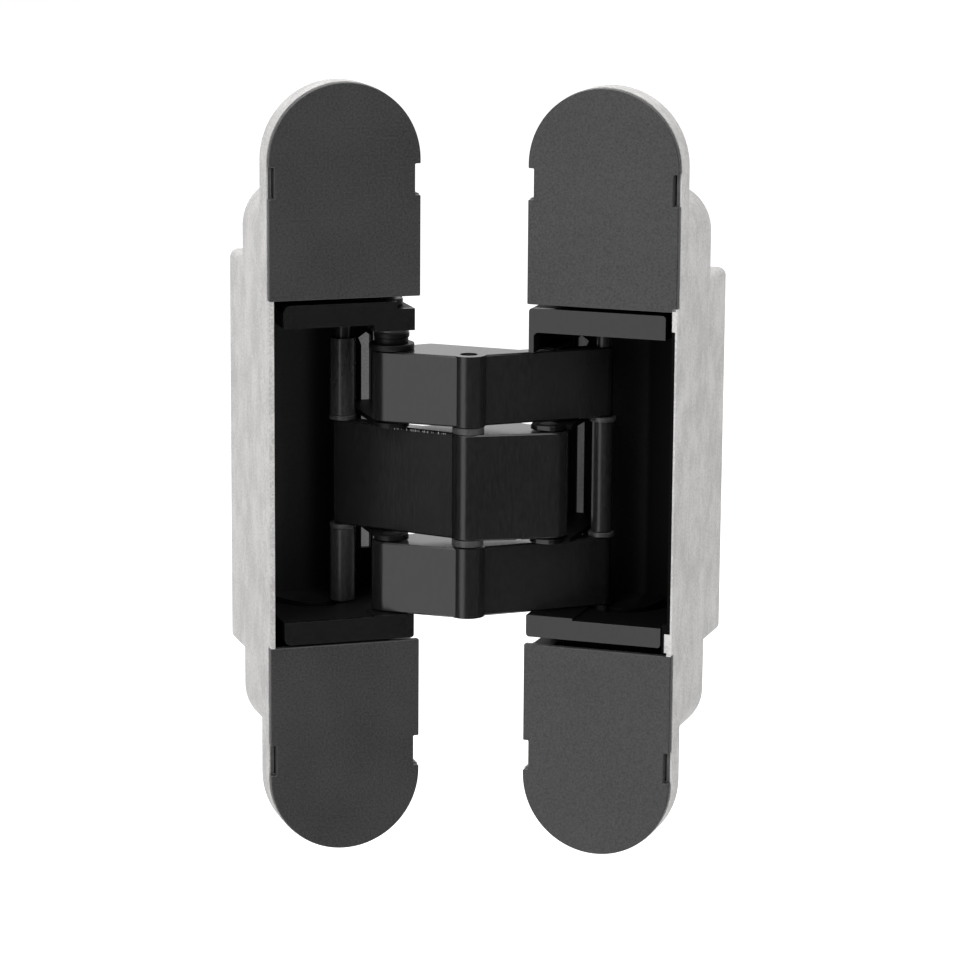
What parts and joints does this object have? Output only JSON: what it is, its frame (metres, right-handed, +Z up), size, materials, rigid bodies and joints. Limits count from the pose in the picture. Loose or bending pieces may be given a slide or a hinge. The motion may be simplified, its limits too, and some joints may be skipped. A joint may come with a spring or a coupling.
{
  "type": "concealed door hinge",
  "caption": "Concealed door hinge: two round-ended cast housings let into door and frame, joined by crossed links on pins, with clip-on cover caps.",
  "frame": {"origin": "centre of the back of the frame leaf's flange, midway between the ends of its two fixing holes", "axes": "+Z up along the leaf, +X across the leaf towards the door leaf, +Y into the door frame"},
  "size_m": [0.0942, 0.0566, 0.1508],
  "materials": {
    "raw_zinc": "fine cast satin",
    "cover_black": "fine matte",
    "carrier_black": "satin",
    "link_black": "satin",
    "pin_black": "satin",
    "ring_grey": "matte",
    "dark_steel": "satin"
  },
  "bodies": {
    "frame_leaf": {"frame_housing": "raw_zinc", "frame_carrier": "carrier_black", "frame_clamp_screws": "dark_steel", "frame_adjusting_cams": "dark_steel", "frame_pivot_pins": "pin_black", "frame_pivot_rings": "ring_grey"},
    "outer_arm": {"upper_link": "link_black", "lower_link": "link_black", "centre_pin": "pin_black", "door_guide_pin": "pin_black", "door_guide_sleeve": "pin_black", "door_guide_rings": "ring_grey"},
    "inner_arm": {"middle_link": "link_black", "centre_washers": "ring_grey", "frame_guide_pin": "pin_black", "frame_guide_sleeves": "pin_black", "frame_guide_rings": "ring_grey"},
    "door_leaf": {"door_housing": "raw_zinc", "door_carrier": "carrier_black", "door_clamp_screws": "dark_steel", "door_adjusting_cams": "dark_steel", "door_pivot_pin": "pin_black"},
    "frame_upper_cap": {"frame_upper_cover": "cover_black"},
    "frame_lower_cap": {"frame_lower_cover": "cover_black"},
    "door_upper_cap": {"door_upper_cover": "cover_black"},
    "door_lower_cap": {"door_lower_cover": "cover_black"}
  },
  "joints": [
    {"name": "outer_arm_turn", "type": "hinge", "parent": "frame_leaf", "child": "outer_arm", "pos_m": [0.01088, -0.00082, 0], "axis": [0, 0, 1], "range_deg": [-105.97, 26.71]},
    {"name": "inner_arm_turn", "type": "hinge", "parent": "outer_arm", "child": "inner_arm", "pos_m": [0.02339, -0.01076, 0], "axis": [0, 0, 1], "range_deg": [-19.82, 78.5]},
    {"name": "door_turn", "type": "hinge", "parent": "inner_arm", "child": "door_leaf", "pos_m": [0.03934, -0.0118, 0], "axis": [0, 0, 1], "range_deg": [-116.28, 29.35]},
    {"name": "frame_upper_cap_pull", "type": "slide", "parent": "frame_leaf", "child": "frame_upper_cap", "axis": [0, -1, 0], "range_m": [0, 0.008]},
    {"name": "frame_lower_cap_pull", "type": "slide", "parent": "frame_leaf", "child": "frame_lower_cap", "axis": [0, -1, 0], "range_m": [0, 0.008]},
    {"name": "door_upper_cap_pull", "type": "slide", "parent": "door_leaf", "child": "door_upper_cap", "axis": [-0.5912, -0.8065, 0], "range_m": [0, 0.008]},
    {"name": "door_lower_cap_pull", "type": "slide", "parent": "door_leaf", "child": "door_lower_cap", "axis": [-0.5912, -0.8065, 0], "range_m": [0, 0.008]}
  ],
  "couplings": [
    {"joint": "inner_arm_turn", "follows": "outer_arm_turn", "ratio": -0.74023},
    {"joint": "door_turn", "follows": "outer_arm_turn", "ratio": 1.0968}
  ]
}
